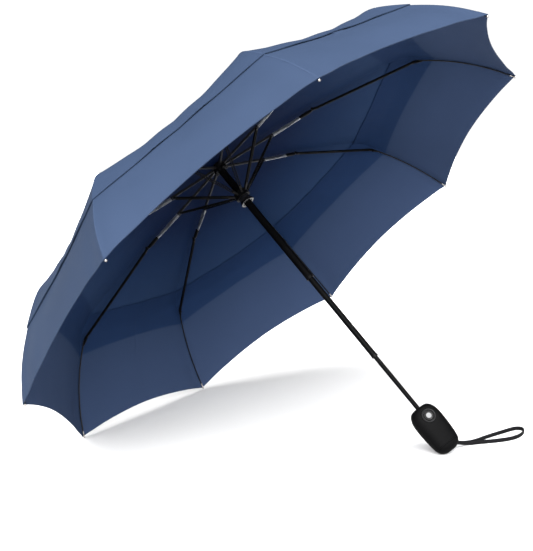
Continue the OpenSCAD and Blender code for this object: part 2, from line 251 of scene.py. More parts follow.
def fabric(name, dark, light, through, share, rough=0.7, sheen=0.0, cut=None, spec=0.12):
    """Closely woven pongee: threads from the cut's own UVs, soft mottling, light that comes through.
    cut = [(distance from the shaft in mm, colour)]: painted shade along the cut, darker towards the crown and in a band
    where the vent cover overlaps, which stands for that layer's shadow."""
    mt, nt, bs, out = material(name)
    tc = nt.nodes.new("ShaderNodeTexCoord")
    n1 = noise(nt, tc.outputs["Object"], 7.0, 4.0, 0.55)
    col = ramp(nt, n1.outputs["Fac"], [(0.3, dark), (0.7, light)])
    w1 = nt.nodes.new("ShaderNodeTexWave")
    w1.wave_type, w1.bands_direction = "BANDS", "X"
    w1.inputs["Scale"].default_value = 520
    w2 = nt.nodes.new("ShaderNodeTexWave")
    w2.wave_type, w2.bands_direction = "BANDS", "Y"
    w2.inputs["Scale"].default_value = 520
    for w in (w1, w2):
        w.inputs["Distortion"].default_value = 0.4
        w.inputs["Detail"].default_value = 1.0
        nt.links.new(tc.outputs["UV"], w.inputs["Vector"])
    mul = nt.nodes.new("ShaderNodeMath")
    mul.operation = "ADD"
    nt.links.new(w1.outputs["Fac"], mul.inputs[0])
    nt.links.new(w2.outputs["Fac"], mul.inputs[1])
    mixc = nt.nodes.new("ShaderNodeMix")
    mixc.data_type, mixc.blend_type = "RGBA", "MULTIPLY"
    mixc.inputs["Factor"].default_value = 0.22
    nt.links.new(col.outputs[0], mixc.inputs["A"])
    gr = ramp(nt, mul.outputs[0], [(0.0, (0.45, 0.45, 0.45)), (1.0, (1.0, 1.0, 1.0))])
    nt.links.new(gr.outputs[0], mixc.inputs["B"])
    last = mixc.outputs["Result"]
    # painted shade: a ramp over the distance from the crown multiplies the colour, darker towards the crown and under
    # the vent cover's overlap
    if cut is not None:
        sep = nt.nodes.new("ShaderNodeSeparateXYZ")
        nt.links.new(tc.outputs["UV"], sep.inputs[0])
        sc = nt.nodes.new("ShaderNodeMath")
        sc.operation = "MULTIPLY"
        sc.inputs[1].default_value = 1 / 0.6
        # the painted shadow band follows the vent cover's edge, which is cut in a shallow curve between the ribs
        q_ = sep.outputs["Y"]
        for op, val in (("ABSOLUTE", None), ("MULTIPLY", 1 / 0.137), ("MINIMUM", 1.0)):
            nd_ = nt.nodes.new("ShaderNodeMath")
            nd_.operation = op
            nt.links.new(q_, nd_.inputs[0])
            if val is not None:
                nd_.inputs[1].default_value = val
            q_ = nd_.outputs[0]
        two = nt.nodes.new("ShaderNodeMath")
        two.operation = "SUBTRACT"
        two.inputs[0].default_value = 2.0
        nt.links.new(q_, two.inputs[1])
        bow = nt.nodes.new("ShaderNodeMath")
        bow.operation = "MULTIPLY"
        nt.links.new(q_, bow.inputs[0])
        nt.links.new(two.outputs[0], bow.inputs[1])
        add = nt.nodes.new("ShaderNodeMath")
        add.operation = "MULTIPLY_ADD"
        add.inputs[1].default_value = 0.009
        nt.links.new(bow.outputs[0], add.inputs[0])
        nt.links.new(sep.outputs["X"], add.inputs[2])
        nt.links.new(add.outputs[0], sc.inputs[0])
        along = ramp(nt, sc.outputs[0], [(arc_at(r) / 0.6, c) for r, c in cut])
        mb = nt.nodes.new("ShaderNodeMix")
        mb.data_type, mb.blend_type = "RGBA", "MULTIPLY"
        mb.inputs["Factor"].default_value = 1.0
        nt.links.new(last, mb.inputs["A"])
        nt.links.new(along.outputs[0], mb.inputs["B"])
        last = mb.outputs["Result"]
    nt.links.new(last, bs.inputs["Base Color"])
    bump = nt.nodes.new("ShaderNodeBump")
    bump.inputs["Strength"].default_value = 0.12
    bump.inputs["Distance"].default_value = 0.0001
    nt.links.new(mul.outputs[0], bump.inputs["Height"])
    n2 = noise(nt, tc.outputs["Object"], 26.0, 3.0, 0.5)
    bump2 = nt.nodes.new("ShaderNodeBump")
    bump2.inputs["Strength"].default_value = 0.18
    bump2.inputs["Distance"].default_value = 0.0015
    nt.links.new(n2.outputs["Fac"], bump2.inputs["Height"])
    nt.links.new(bump.outputs[0], bump2.inputs["Normal"])
    nt.links.new(bump2.outputs[0], bs.inputs["Normal"])
    bs.inputs["Roughness"].default_value = rough
    bs.inputs["Sheen Weight"].default_value = sheen
    bs.inputs["Sheen Roughness"].default_value = 0.45
    bs.inputs["Specular IOR Level"].default_value = spec
    if share > 0:
        tr = nt.nodes.new("ShaderNodeBsdfTranslucent")
        tr.inputs["Color"].default_value = (*through, 1)
        mix = nt.nodes.new("ShaderNodeMixShader")
        mix.inputs[0].default_value = share
        nt.links.new(bs.outputs[0], mix.inputs[1])
        nt.links.new(tr.outputs[0], mix.inputs[2])
        nt.links.new(mix.outputs[0], out.inputs[0])
    return mt


def plain(name, c0, c1, rough=0.4, metal=0.0, scale=60.0, bump=0.1, dist=0.0002, coat=0.0, spec=0.5, wear=None, fine=None):
    """Moulded or painted finish with mottled colour, a roughness that varies and a fine grain."""
    mt, nt, bs, out = material(name)
    tc = nt.nodes.new("ShaderNodeTexCoord")
    n1 = noise(nt, tc.outputs["Object"], scale, 4.0, 0.6)
    col = ramp(nt, n1.outputs["Fac"], [(0.3, c0), (0.72, c1)])
    last = col.outputs[0]
    if wear is not None:
        n3 = noise(nt, tc.outputs["Object"], scale * 0.35, 5.0, 0.7)
        wr = ramp(nt, n3.outputs["Fac"], [(0.56, (0, 0, 0)), (0.74, (1, 1, 1))])
        mx = nt.nodes.new("ShaderNodeMix")
        mx.data_type = "RGBA"
        nt.links.new(wr.outputs[0], mx.inputs["Factor"])
        nt.links.new(last, mx.inputs["A"])
        mx.inputs["B"].default_value = (*wear, 1)
        last = mx.outputs["Result"]
    nt.links.new(last, bs.inputs["Base Color"])
    rr = ramp(nt, n1.outputs["Fac"], [(0.2, (rough * 0.82,) * 3), (0.8, (min(1, rough * 1.18),) * 3)])
    nt.links.new(rr.outputs[0], bs.inputs["Roughness"])
    n2 = noise(nt, tc.outputs["Object"], fine or scale * 18, 2.0, 0.5)
    b = nt.nodes.new("ShaderNodeBump")
    b.inputs["Strength"].default_value = bump
    b.inputs["Distance"].default_value = dist
    nt.links.new(n2.outputs["Fac"], b.inputs["Height"])
    nt.links.new(b.outputs[0], bs.inputs["Normal"])
    bs.inputs["Metallic"].default_value = metal
    bs.inputs["Coat Weight"].default_value = coat
    bs.inputs["Specular IOR Level"].default_value = spec
    return mt


def inner_rib_material():
    """Black at the notch, bright plated channel past the stretcher joint, black connector at the hinge: by distance from the shaft's axis."""
    mt, nt, bs, out = material("inner_rib_plating")
    tc = nt.nodes.new("ShaderNodeTexCoord")
    o0, ax = row([0, 0, 0]), rowd([0, 0, 1])
    sub = nt.nodes.new("ShaderNodeVectorMath")
    sub.operation = "SUBTRACT"
    nt.links.new(tc.outputs["Object"], sub.inputs[0])
    sub.inputs[1].default_value = tuple(o0)
    cr = nt.nodes.new("ShaderNodeVectorMath")
    cr.operation = "CROSS_PRODUCT"
    nt.links.new(sub.outputs[0], cr.inputs[0])
    cr.inputs[1].default_value = tuple(ax)
    ln = nt.nodes.new("ShaderNodeVectorMath")
    ln.operation = "LENGTH"
    nt.links.new(cr.outputs[0], ln.inputs[0])
    n1 = noise(nt, tc.outputs["Object"], 240, 3.0, 0.6)
    steps = nt.nodes.new("ShaderNodeValToRGB")
    steps.color_ramp.interpolation = "CONSTANT"
    els = steps.color_ramp.elements
    els[0].position, els[0].color = 0.0, (0, 0, 0, 1)
    els[1].position, els[1].color = 0.104, (1, 1, 1, 1)
    e = els.new(0.1605)
    e.color = (0, 0, 0, 1)
    nt.links.new(ln.outputs["Value"], steps.inputs[0])
    silver = ramp(nt, n1.outputs["Fac"], [(0.3, (0.34, 0.35, 0.36)), (0.7, (0.52, 0.53, 0.54))])
    black = ramp(nt, n1.outputs["Fac"], [(0.3, (0.0022, 0.0022, 0.0024)), (0.7, (0.0048, 0.0046, 0.0046))])
    mx = nt.nodes.new("ShaderNodeMix")
    mx.data_type = "RGBA"
    nt.links.new(steps.outputs[0], mx.inputs["Factor"])
    nt.links.new(black.outputs[0], mx.inputs["A"])
    nt.links.new(silver.outputs[0], mx.inputs["B"])
    nt.links.new(mx.outputs["Result"], bs.inputs["Base Color"])
    nt.links.new(steps.outputs[0], bs.inputs["Metallic"])
    bs.inputs["Roughness"].default_value = 0.32
    b = nt.nodes.new("ShaderNodeBump")
    b.inputs["Strength"].default_value = 0.1
    b.inputs["Distance"].default_value = 0.0001
    nt.links.new(n1.outputs["Fac"], b.inputs["Height"])
    nt.links.new(b.outputs[0], bs.inputs["Normal"])
    return mt


def webbing_material():
    mt, nt, bs, out = material("strap_weave")
    tc = nt.nodes.new("ShaderNodeTexCoord")
    mp = nt.nodes.new("ShaderNodeMapping")
    mp.inputs["Rotation"].default_value = (0, 0, math.radians(38))
    nt.links.new(tc.outputs["UV"], mp.inputs["Vector"])
    w = nt.nodes.new("ShaderNodeTexWave")
    w.inputs["Scale"].default_value = 300
    w.inputs["Distortion"].default_value = 1.2
    w.inputs["Detail"].default_value = 2.0
    nt.links.new(mp.outputs[0], w.inputs["Vector"])
    mp2 = nt.nodes.new("ShaderNodeMapping")
    mp2.inputs["Rotation"].default_value = (0, 0, math.radians(-38))
    nt.links.new(tc.outputs["UV"], mp2.inputs["Vector"])
    w2 = nt.nodes.new("ShaderNodeTexWave")
    w2.inputs["Scale"].default_value = 300
    w2.inputs["Distortion"].default_value = 1.2
    nt.links.new(mp2.outputs[0], w2.inputs["Vector"])
    ad = nt.nodes.new("ShaderNodeMath")
    ad.operation = "MAXIMUM"
    nt.links.new(w.outputs["Fac"], ad.inputs[0])
    nt.links.new(w2.outputs["Fac"], ad.inputs[1])
    col = ramp(nt, ad.outputs[0], [(0.1, (0.0010, 0.0010, 0.0012)), (0.95, (0.0036, 0.0036, 0.0042))])
    nt.links.new(col.outputs[0], bs.inputs["Base Color"])
    b = nt.nodes.new("ShaderNodeBump")
    b.inputs["Strength"].default_value = 0.6
    b.inputs["Distance"].default_value = 0.0003
    nt.links.new(ad.outputs[0], b.inputs["Height"])
    nt.links.new(b.outputs[0], bs.inputs["Normal"])
    bs.inputs["Roughness"].default_value = 0.7
    bs.inputs["Specular IOR Level"].default_value = 0.05
    return mt


OUT_TOP = fabric("canopy_outside", (0.0124, 0.0208, 0.0408), (0.0142, 0.0234, 0.0455), (0.10, 0.16, 0.32), 0.04, spec=0.07)
OUT_LOW = fabric("canopy_edge_outside", (0.0124, 0.0208, 0.0408), (0.0142, 0.0234, 0.0455), (0.10, 0.16, 0.32), 0.04, spec=0.07)
# painted shade on the inside fabric: these stops darken it towards the crown and in the band under the vent cover's
# overlap, and lighten it towards the hem
IN_TOP = fabric("canopy_inside", (0.94, 0.94, 0.94), (1.0, 1.0, 1.0), (0.10, 0.16, 0.32), 0.04, spec=0.03, cut=[
    (10, (0.0009, 0.0037, 0.0166)), (150, (0.0012, 0.0048, 0.0192)), (240, (0.0042, 0.0116, 0.0341)), (329, (0.0083, 0.0185, 0.0465)), (345, (0.0038, 0.0110, 0.0347)), (420, (0.0038, 0.0110, 0.0347))])
IN_LOW = fabric("canopy_edge_inside", (0.94, 0.94, 0.94), (1.0, 1.0, 1.0), (0.10, 0.16, 0.32), 0.04, spec=0.03, cut=[
    (320, (0.0044, 0.0119, 0.0359)), (400.4, (0.0060, 0.0150, 0.0417)), (402.0, (0.0150, 0.0256, 0.0545)), (440, (0.0181, 0.0296, 0.0620)), (484, (0.0205, 0.0328, 0.0671))])
SEAM = fabric("canopy_seam", (0.0139, 0.0229, 0.0440), (0.0158, 0.0254, 0.0489), (0.1, 0.16, 0.3), 0.0, rough=0.6, spec=0.07)
RIB_BLACK = plain("rib_black_coat", (0.0010, 0.0010, 0.0010), (0.0021, 0.0020, 0.0020), rough=0.34, metal=0.0, scale=90, bump=0.05, dist=0.0001, spec=0.070, wear=(0.0056, 0.0049, 0.0042))
WIRE = plain("rib_wire_dark", (0.0017, 0.0017, 0.0017), (0.0038, 0.0036, 0.0036), rough=0.36, metal=0.0, spec=0.100, scale=120, bump=0.05, dist=0.00008)
TIPM = plain("tip_metal", (0.17, 0.16, 0.155), (0.27, 0.255, 0.245), rough=0.3, metal=1.0, scale=200, bump=0.05, dist=0.00005)
SHAFT = plain("shaft_black_paint", (0.0006, 0.0006, 0.0007), (0.0012, 0.0012, 0.0014), rough=0.4, metal=0.0, scale=40, bump=0.04, dist=0.00006, spec=0.02)
NYLON = plain("nylon_black", (0.0009, 0.0009, 0.0010), (0.0019, 0.0019, 0.0022), rough=0.4, spec=0.060, scale=120, bump=0.12, dist=0.0001)
GLOSS = plain("runner_gloss", (0.003, 0.003, 0.0036), (0.006, 0.006, 0.007), rough=0.14, scale=80, bump=0.03, dist=0.00005, spec=0.4)
STEEL = plain("bright_wire", (0.5, 0.5, 0.52), (0.7, 0.7, 0.72), rough=0.25, metal=1.0, scale=300, bump=0.05, dist=0.00005)
GUN = plain("runner_ring_wire", (0.045, 0.045, 0.047), (0.08, 0.08, 0.083), rough=0.3, metal=1.0, scale=300, bump=0.05, dist=0.00005)
GRIP = plain("grip_soft_touch", (0.0010, 0.0010, 0.0011), (0.0016, 0.0016, 0.0017), rough=0.55, spec=0.02, scale=35, bump=0.35, dist=0.00012, fine=2600)
BUTTON = plain("button_gloss", (0.0009, 0.0009, 0.0010), (0.0014, 0.0014, 0.0016), rough=0.22, scale=90, bump=0.05, dist=0.00005, spec=0.09)
BEZEL = plain("button_bezel_satin", (0.0030, 0.0030, 0.0033), (0.0050, 0.0050, 0.0055), rough=0.3, spec=0.16, scale=120, bump=0.08, dist=0.00008)
MARK = plain("button_mark", (0.095, 0.095, 0.097), (0.12, 0.12, 0.122), rough=0.4, scale=200, bump=0.05, spec=0.1)
INNER = inner_rib_material()
WEB = webbing_material()


def paint(node, mt):
    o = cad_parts[node]
    o.data.materials.clear()
    o.data.materials.append(mt)


for n in range(1, 10):
    paint(f"inner_rib_{n}", INNER)
    paint(f"stretcher_{n}", RIB_BLACK)
    paint(f"middle_rib_{n}", RIB_BLACK)
    paint(f"outer_rib_{n}", WIRE)
for nd, mt in dict(upper_tube=SHAFT, middle_tube=SHAFT, lower_tube=SHAFT, upper_collar=NYLON, middle_collar=NYLON, top_notch=NYLON, notch_ring=STEEL,
                   ferrule_cap=NYLON, runner=NYLON, runner_bell=GLOSS, runner_ring=GUN, main_spring=STEEL, button_spring=STEEL, handle_core=NYLON,
                   strap_anchor=STEEL).items():
    paint(nd, mt)

# ------------------------------------------------------------------ wrist strap (a free cord)
SR = [[265.9, 8.4, 12.1], [265.9, 15, 12], [266.8, 23, 10.6], [269.6, 32, 7.4], [274, 42, 4.8], [279.6, 52, 3.6], [284.2, 62, 3.3], [289.2, 77, 3.3],
      [295, 93, 3.3], [301.4, 108, 3.3], [307, 121, 3.3], [311.6, 132, 3.3], [317.4, 140.4, 3.3], [325, 142.6, 3.3], [331.6, 137, 3.3], [335, 127, 3.3],
      [336, 114, 3.3], [334, 102, 3.3], [329, 91, 3.3], [320.6, 80.6, 3.3], [310.4, 71, 3.3], [299.6, 62.4, 3.3], [289.6, 54.2, 3.3], [281.4, 45.4, 3.9],
      [274.8, 36, 6.1], [270.6, 27, 9], [268.9, 18, 11.6], [268.7, 8.4, 12.1]]


def catmull(pts, per):
    p = np.asarray(pts, float)
    n_ = len(p) - 1
    out = []
    for i in range(n_):
        a, b, c, d = p[max(i - 1, 0)], p[i], p[i + 1], p[min(i + 2, n_)]
        for k in range(per):
            t = k / per
            out.append(0.5 * (2 * b + t * (c - a) + t * t * (2 * a - 5 * b + 4 * c - d) + t ** 3 * (3 * b - a - 3 * c + d)))
    out.append(p[-1])
    return np.array(out)


def strap():
    path = (catmull(SR, 10) + np.array([SHIFT, 0, 0])) / 1000.0
    n = 20
    ends = np.minimum(np.arange(len(path)), np.arange(len(path))[::-1]) / 5.0
    o = sweep("wrist_strap_webbing", path, None, n=n, flat=(0.0008, 0.0031, None), wide=np.minimum(1, 0.8 + 0.05 * ends))
    arc = np.concatenate([[0], np.cumsum(np.linalg.norm(np.diff(path, axis=0), axis=1))])
    uv = [(arc[i], 0.013 * j / n) for i in range(len(path)) for j in range(n)]
    set_uv(o, uv)
    o.data.materials.append(WEB)
    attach(o, "handle")
    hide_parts("wrist_strap")
    return path, arc


strap_path, strap_arc = strap()

# ------------------------------------------------------------------ canopy
T20 = math.tan(math.radians(20))


def prof(r):
    return np.interp(r, _rs, _zz)


def slope(r):
    return (prof(r + 1.5) - prof(r - 1.5)) / 3.0


def sstep(a, b, x):
    t = np.clip((x - a) / (b - a), 0, 1)
    return t * t * (3 - 2 * t)


rng = np.random.RandomState(7)
WR = [(rng.uniform(0.6, 1.0), rng.uniform(0, 6.28), rng.uniform(0.8, 1.3)) for _ in range(12)]


def surf(x, th, n, layer):
    """Mid-surface of the fabric at distance x along rib n and angle th (degrees) from it, in rib coordinates, mm."""
    a = np.radians(th)
    y = x * np.tan(a)
    sgn = np.where(th >= 0, 1.0, -1.0)
    r = x + np.abs(y) * T20
    s = 1 - np.abs(th) / 20.0
    w = 1 - s * s
    sl = slope(r) / math.cos(math.radians(20))
    cm, sm = math.cos(math.radians(20)), math.sin(math.radians(20)) * sgn
    nn = np.stack([-sl * cm, -sl * sm, np.ones_like(r)], -1)
    nn /= np.linalg.norm(nn, axis=-1)[..., None]
    # the ribs hold the fabric up in a ridge over their elbows
    z = prof(r) + 7.5 * np.exp(-((r - 352) / np.where(r < 352, 75.0, 30.0)) ** 2) * s ** 1.7
    # the panel is pulled tight between curved ribs, so it dips between them
    d = -5.5 * w * sstep(120, 330, r) * (1 - 0.55 * sstep(395, 450, r))
    # tension folds that run in from the tips and the tie points
    g = n if True else 0
    gore = (2 * n + np.where(th >= 0, 1, -1)).astype(float)
    ph = gore * 1.7
    tip = sstep(395, 478, r)
    q = np.abs(th) / 20.0
    d += 1.1 * tip * np.sin(q * 16 + ph) * np.exp(-q * 3.0) * sstep(0, 0.08, q) * (1 - 0.4 * q)
    d += 0.55 * sstep(200, 300, r) * (1 - sstep(380, 440, r)) * np.sin(q * 9 + r * 0.02 + ph) * w
    d += 0.7 * np.exp(-((r - 372) / 30.0) ** 2) * np.sin(q * 14 + ph * 1.3) * w * (1 - w * 0.5)
    d += 0.5 * np.exp(-((r - 187) / 35.0) ** 2) * np.sin(q * 8 + ph) * w
    if layer == "top":
        d = d + 1.9 + 0.9 * sstep(380, 414, r) * w + 0.35 * sstep(385, 414, r) * np.sin(q * 12 + ph) * w
    else:
        d = d + 0.4
    return np.stack([x, y, z], -1) + nn * d[..., None]


def normals(x, th, n, layer):
    def side(tt):
        sg = np.where(tt >= 0, 1.0, -1.0)
        dth = 0.15
        t0, t1 = np.where(np.abs(tt) < 19.8, tt + sg * dth, tt), tt
        t0 = np.where(np.abs(tt) >= 19.8, sg * 20.0, t0)
        t1 = np.where(np.abs(tt) >= 19.8, sg * 19.7, t1)
        pu = (surf(x, t0, n, layer) - surf(x, t1, n, layer)) * sg[..., None]
        px = surf(x + 0.6, tt, n, layer) - surf(x - 0.6, tt, n, layer)
        c = np.cross(px, pu)
        return c / np.linalg.norm(c, axis=-1)[..., None]
    # at the middle of a panel both neighbours share one normal, which lies in the panel's own plane of symmetry
    nr = side(np.where(th == 0, 1e-6, th))
    nl = side(np.where(th == 0, -1e-6, th))
    out = np.where((th == 0)[..., None], nr + nl, nr)
    edge = np.abs(th) > 19.99
    if edge.any():
        sg = np.sign(th)
        a = np.radians(20) * sg
        plane = np.stack([-np.sin(a), np.cos(a), np.zeros_like(a)], -1)
        flat = out - plane * (out * plane).sum(-1)[..., None]
        out = np.where(edge[..., None], flat, out)
    return out / np.linalg.norm(out, axis=-1)[..., None]


def rib2u(p, n):
    c, s = math.cos(azi(n)), math.sin(azi(n))
    p = np.asarray(p, float)
    return np.stack([p[..., 0] * c - p[..., 1] * s, p[..., 0] * s + p[..., 1] * c, p[..., 2]], -1)


HEM = 6.5


def x_of_ring(r, th):
    return r / (1 + np.tan(np.radians(np.abs(th))) * T20)


def hem_ring(th):
    s = 1 - np.abs(th) / 20.0
    return 482.0 - 1.6 * (1 - s) ** 0.5 - HEM * (1 - s ** 2)


def vent_ring(th):
    s = 1 - np.abs(th) / 20.0
    return 414.0 - 6.0 * (1 - s ** 2)


TH_HALF = [0, 0.12, 0.3, 0.6, 1.0, 1.6, 2.4, 3.4, 4.6, 6.0, 7.5, 9.0, 10.6, 12.2, 13.8, 15.4, 17.0, 18.4, 19.4, 20.0]
ZX = (185.0, 375.0)


def fabric_piece(name, n, layer, x0f, x1f, rows, thmax, body, hem_at_end, outside, inside, replaces=None):
    half_list = TH_HALF + ([th_x] if name.startswith("vent_cover_middle") else [])
    th = np.array(sorted(set([-t for t in half_list] + half_list)), float)
    if thmax < 20:
        th = np.concatenate([[-thmax], th[np.abs(th) < thmax - 0.3], [thmax]])
    t = np.linspace(0, 1, rows + 1)
    X0, X1 = x0f(th), x1f(th)
    if hem_at_end:  # rows close together at the folded hem
        L = np.maximum(X1 - X0, 1e-3)
        t = np.concatenate([np.linspace(0, 1, rows - 3)[:-1] * (1 - 7.5 / 100), [1 - 7.5 / 100, 1 - 6.9 / 100, 1 - 3.5 / 100, 1 - 0.6 / 100, 1.0]])
    X = X0[None, :] + (X1 - X0)[None, :] * t[:, None]
    TH = np.broadcast_to(th[None, :], X.shape)
    P = surf(X, TH, n, layer)
    NN = normals(X, TH, n, layer)
    half = np.full(X.shape, 0.22)
    if hem_at_end:
        half = half + 0.38 * sstep(1 - 7.5 / 100, 1 - 6.9 / 100, t)[:, None]
    if name.startswith("vent_cover_middle"):  # the hem where the cover's edge runs through this piece
        half[-1] += 0.38 * (X1 < ZX[1] - 0.05)
    top, bot = P + NN * half[..., None], P - NN * half[..., None]
    nv, nu = X.shape
    V = np.concatenate([rib2u(top, n).reshape(-1, 3), rib2u(bot, n).reshape(-1, 3)])
    NV = np.concatenate([rib2u(NN, n).reshape(-1, 3), -rib2u(NN, n).reshape(-1, 3)])
    q = nv * nu
    faces, kinds = [], []
    for i in range(nv - 1):
        for j in range(nu - 1):
            a, b, c, d = i * nu + j, i * nu + j + 1, (i + 1) * nu + j + 1, (i + 1) * nu + j
            if hem_at_end or True:
                faces.append((a, d, c, b)); kinds.append(0)
                faces.append((q + a, q + b, q + c, q + d)); kinds.append(1)
    for j in range(nu - 1):
        a, b = j, j + 1
        faces.append((a, b, q + b, q + a)); kinds.append(2)
        a, b = (nv - 1) * nu + j, (nv - 1) * nu + j + 1
        faces.append((a, q + a, q + b, b)); kinds.append(2)
    for i in range(nv - 1):
        a, b = i * nu, (i + 1) * nu
        faces.append((a, q + a, q + b, b)); kinds.append(2)
        a, b = i * nu + nu - 1, (i + 1) * nu + nu - 1
        faces.append((a, b, q + b, q + a)); kinds.append(2)
    o = new_mesh(name, row(V), faces)
    me = o.data
    me.materials.append(outside)
    me.materials.append(inside)
    me.polygons.foreach_set("material_index", [1 if k == 1 else 0 for k in kinds])
    ring = X + np.abs(X * np.tan(np.radians(TH))) * T20
    uv = np.stack([np.interp(ring, _rs, _arc), X * np.tan(np.radians(TH))], -1).reshape(-1, 2) / 1000.0
    set_uv(o, np.concatenate([uv, uv]))
    # true normals of the surface, so that neighbouring pieces meet without a line
    NR = NV @ MU.T
    loops_v = np.zeros(len(me.loops), np.int32)
    me.loops.foreach_get("vertex_index", loops_v)
    ln = NR[loops_v]
    fn = np.zeros(len(me.polygons) * 3)
    me.polygons.foreach_get("normal", fn)
    fn = fn.reshape(-1, 3)
    for p in me.polygons:
        if kinds[p.index] == 2:
            ln[p.loop_start:p.loop_start + p.loop_total] = fn[p.index]
    me.normals_split_custom_set([tuple(v) for v in ln])
    # the middle surface's points in the umbrella's own frame, mm
    A = rib2u(P, n)
    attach(o, body)
    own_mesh(o)
    if replaces:
        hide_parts(replaces)
    return o


def const(v):
    return lambda th: np.full_like(th, v)


_ts = np.linspace(0, 20, 4001)
_tv = x_of_ring(vent_ring(_ts), _ts)
th_c, th_x = float(_ts[np.argmax(_tv < 375.9)]), float(_ts[np.argmax(_tv < 375.0)])
for n in range(1, 10):
    fabric_piece(f"vent_cover_inner_{n}", n, "top", lambda th: x_of_ring(11.0, th), const(ZX[0]), 18, 20, f"inner_{n}", False, OUT_TOP, IN_TOP,
                 replaces="vent_cover" if n == 1 else None)
    fabric_piece(f"vent_cover_middle_{n}", n, "top", const(ZX[0]), lambda th: np.minimum(ZX[1], x_of_ring(vent_ring(th), th)), 26, 20, f"middle_{n}", False, OUT_TOP, IN_TOP)
    fabric_piece(f"vent_cover_edge_{n}", n, "top", const(ZX[1]), lambda th: np.maximum(ZX[1] + 0.3, x_of_ring(vent_ring(th), th)), 12, th_c, f"outer_{n}", True, OUT_TOP, IN_TOP)
    fabric_piece(f"canopy_middle_{n}", n, "low", lambda th: x_of_ring(339.0 - 14.0 * (1 - (1 - np.abs(th) / 20.0) ** 2), th), const(ZX[1]), 14, 20, f"middle_{n}", False, OUT_LOW, IN_LOW,
                 replaces="lower_canopy" if n == 1 else None)
    fabric_piece(f"canopy_outer_{n}", n, "low", const(ZX[1]), lambda th: x_of_ring(hem_ring(th), th), 30, 20, f"outer_{n}", True, OUT_LOW, IN_LOW)


def seam(name, n, layer, r0, r1, body, mt, halfw=1.3, lift=0.28):
    xs = np.linspace(r0, r1, max(6, int((r1 - r0) / 4)))
    prof_ = [(-halfw, 0.0), (-halfw * 0.8, 0.7), (-halfw * 0.3, 1.0), (halfw * 0.3, 1.0), (halfw * 0.8, 0.7), (halfw, 0.0)]
    V = []
    for x in xs:
        base = surf(np.array([x]), np.array([0.0]), n, layer)[0]
        for y, h in prof_:
            th = math.degrees(math.atan2(y, x))
            p = surf(np.array([x]), np.array([th]), n, layer)[0]
            nn_ = normals(np.array([x]), np.array([0.0]), n, layer)[0]
            V.append(p * 0.6 + (base + np.array([0, y, 0])) * 0.4 + nn_ * (0.24 + lift * h))
    k = len(prof_)
    F = [(i * k + j, (i + 1) * k + j, (i + 1) * k + j + 1, i * k + j + 1) for i in range(len(xs) - 1) for j in range(k - 1)]
    F += [(i * k + k - 1, (i + 1) * k + k - 1, (i + 1) * k, i * k) for i in range(len(xs) - 1)]
    F += [tuple(range(k - 1, -1, -1)), tuple((len(xs) - 1) * k + j for j in range(k))]
    o = new_mesh(name, row(rib2u(np.array(V), n)), F)
    sharp(o, 60)
    set_uv(o, [(x / 1000, y / 1000) for x in xs for y, h in prof_])
    o.data.materials.append(mt)
    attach(o, body)
    return o


for n in range(1, 10):
    seam(f"seam_inner_{n}", n, "top", 17, ZX[0] - 1, f"inner_{n}", SEAM)
    seam(f"seam_middle_{n}", n, "top", ZX[0] + 1, ZX[1] - 1, f"middle_{n}", SEAM)
    seam(f"seam_vent_{n}", n, "top", ZX[1] + 1, 413.0, f"outer_{n}", SEAM)
    seam(f"seam_outer_{n}", n, "low", ZX[1] + 1, 481.0, f"outer_{n}", SEAM)

# crown rosette of fabric under the ferrule cap
ros = []
for k_ in range(90):
    a = 2 * math.pi * k_ / 90
    for j, r in enumerate((9.0, 14, 19, 23.5, 24.0, 23.4, 14, 9.0)):
        rr_ = r + (1.2 * math.cos(9 * (a - azi(1))) if r > 20 else 0)
        zz_ = float(prof(np.array(rr_))) + (3.6 if j < 4 else 3.3 if j == 4 else 2.7)
        ros.append((rr_ * math.cos(a), rr_ * math.sin(a), zz_))
F = [(i * 8 + j, ((i + 1) % 90) * 8 + j, ((i + 1) % 90) * 8 + (j + 1) % 8, i * 8 + (j + 1) % 8) for i in range(90) for j in range(8)]
o = sharp(new_mesh("crown_rosette", row(np.array(ros)), F), 60)
set_uv(o, [(p[0] / 1000, p[1] / 1000) for p in ros])
o.data.materials.append(OUT_TOP)
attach(o, "canopy_frame")

